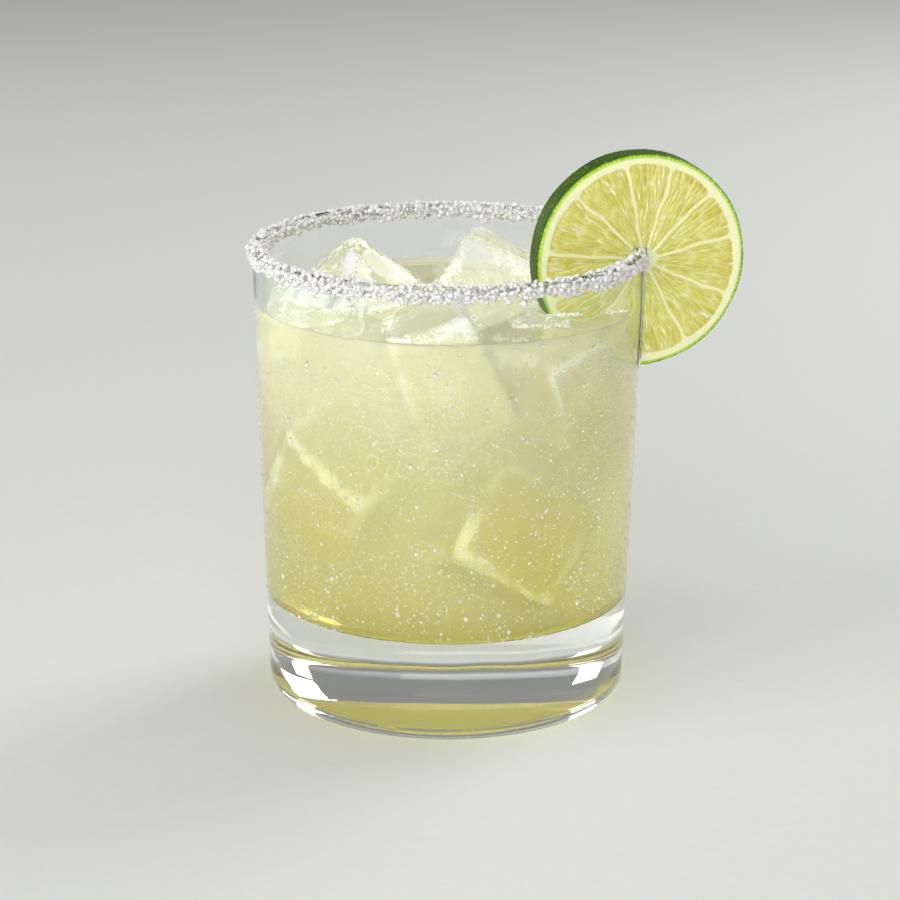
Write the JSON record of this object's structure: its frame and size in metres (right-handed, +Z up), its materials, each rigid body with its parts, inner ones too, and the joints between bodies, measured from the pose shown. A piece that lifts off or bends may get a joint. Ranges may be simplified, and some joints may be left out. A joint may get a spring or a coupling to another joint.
{
  "type": "margarita cocktail in a rocks glass",
  "caption": "Thick-based rocks glass filled with a cloudy pale margarita, ice cubes breaking the surface, a crust of salt on the rim and a lime wheel slit over the lip.",
  "frame": {"origin": "centre of the foot, on the table", "axes": "+Z up out of the mouth, +X towards the lime wheel, -Y towards the side that faces the viewer"},
  "size_m": [0.1061, 0.0863, 0.12],
  "materials": {
    "glass": "fire-polished clear soda-lime glass",
    "drink": "cloudy pale yellow-green drink",
    "ice": "melting ice, clear with frosted seams",
    "lime": "cut lime: wet pulp, pale pith and waxy green rind",
    "salt": "coarse white salt crystals"
  },
  "bodies": {
    "root": {"glass": "glass", "drink": "drink", "ice_left": "ice", "ice_back": "ice", "ice_front": "ice", "ice_wall": "ice", "ice_lime": "ice", "lime_wheel": "lime", "salt_rim": "salt"}
  },
  "joints": []
}
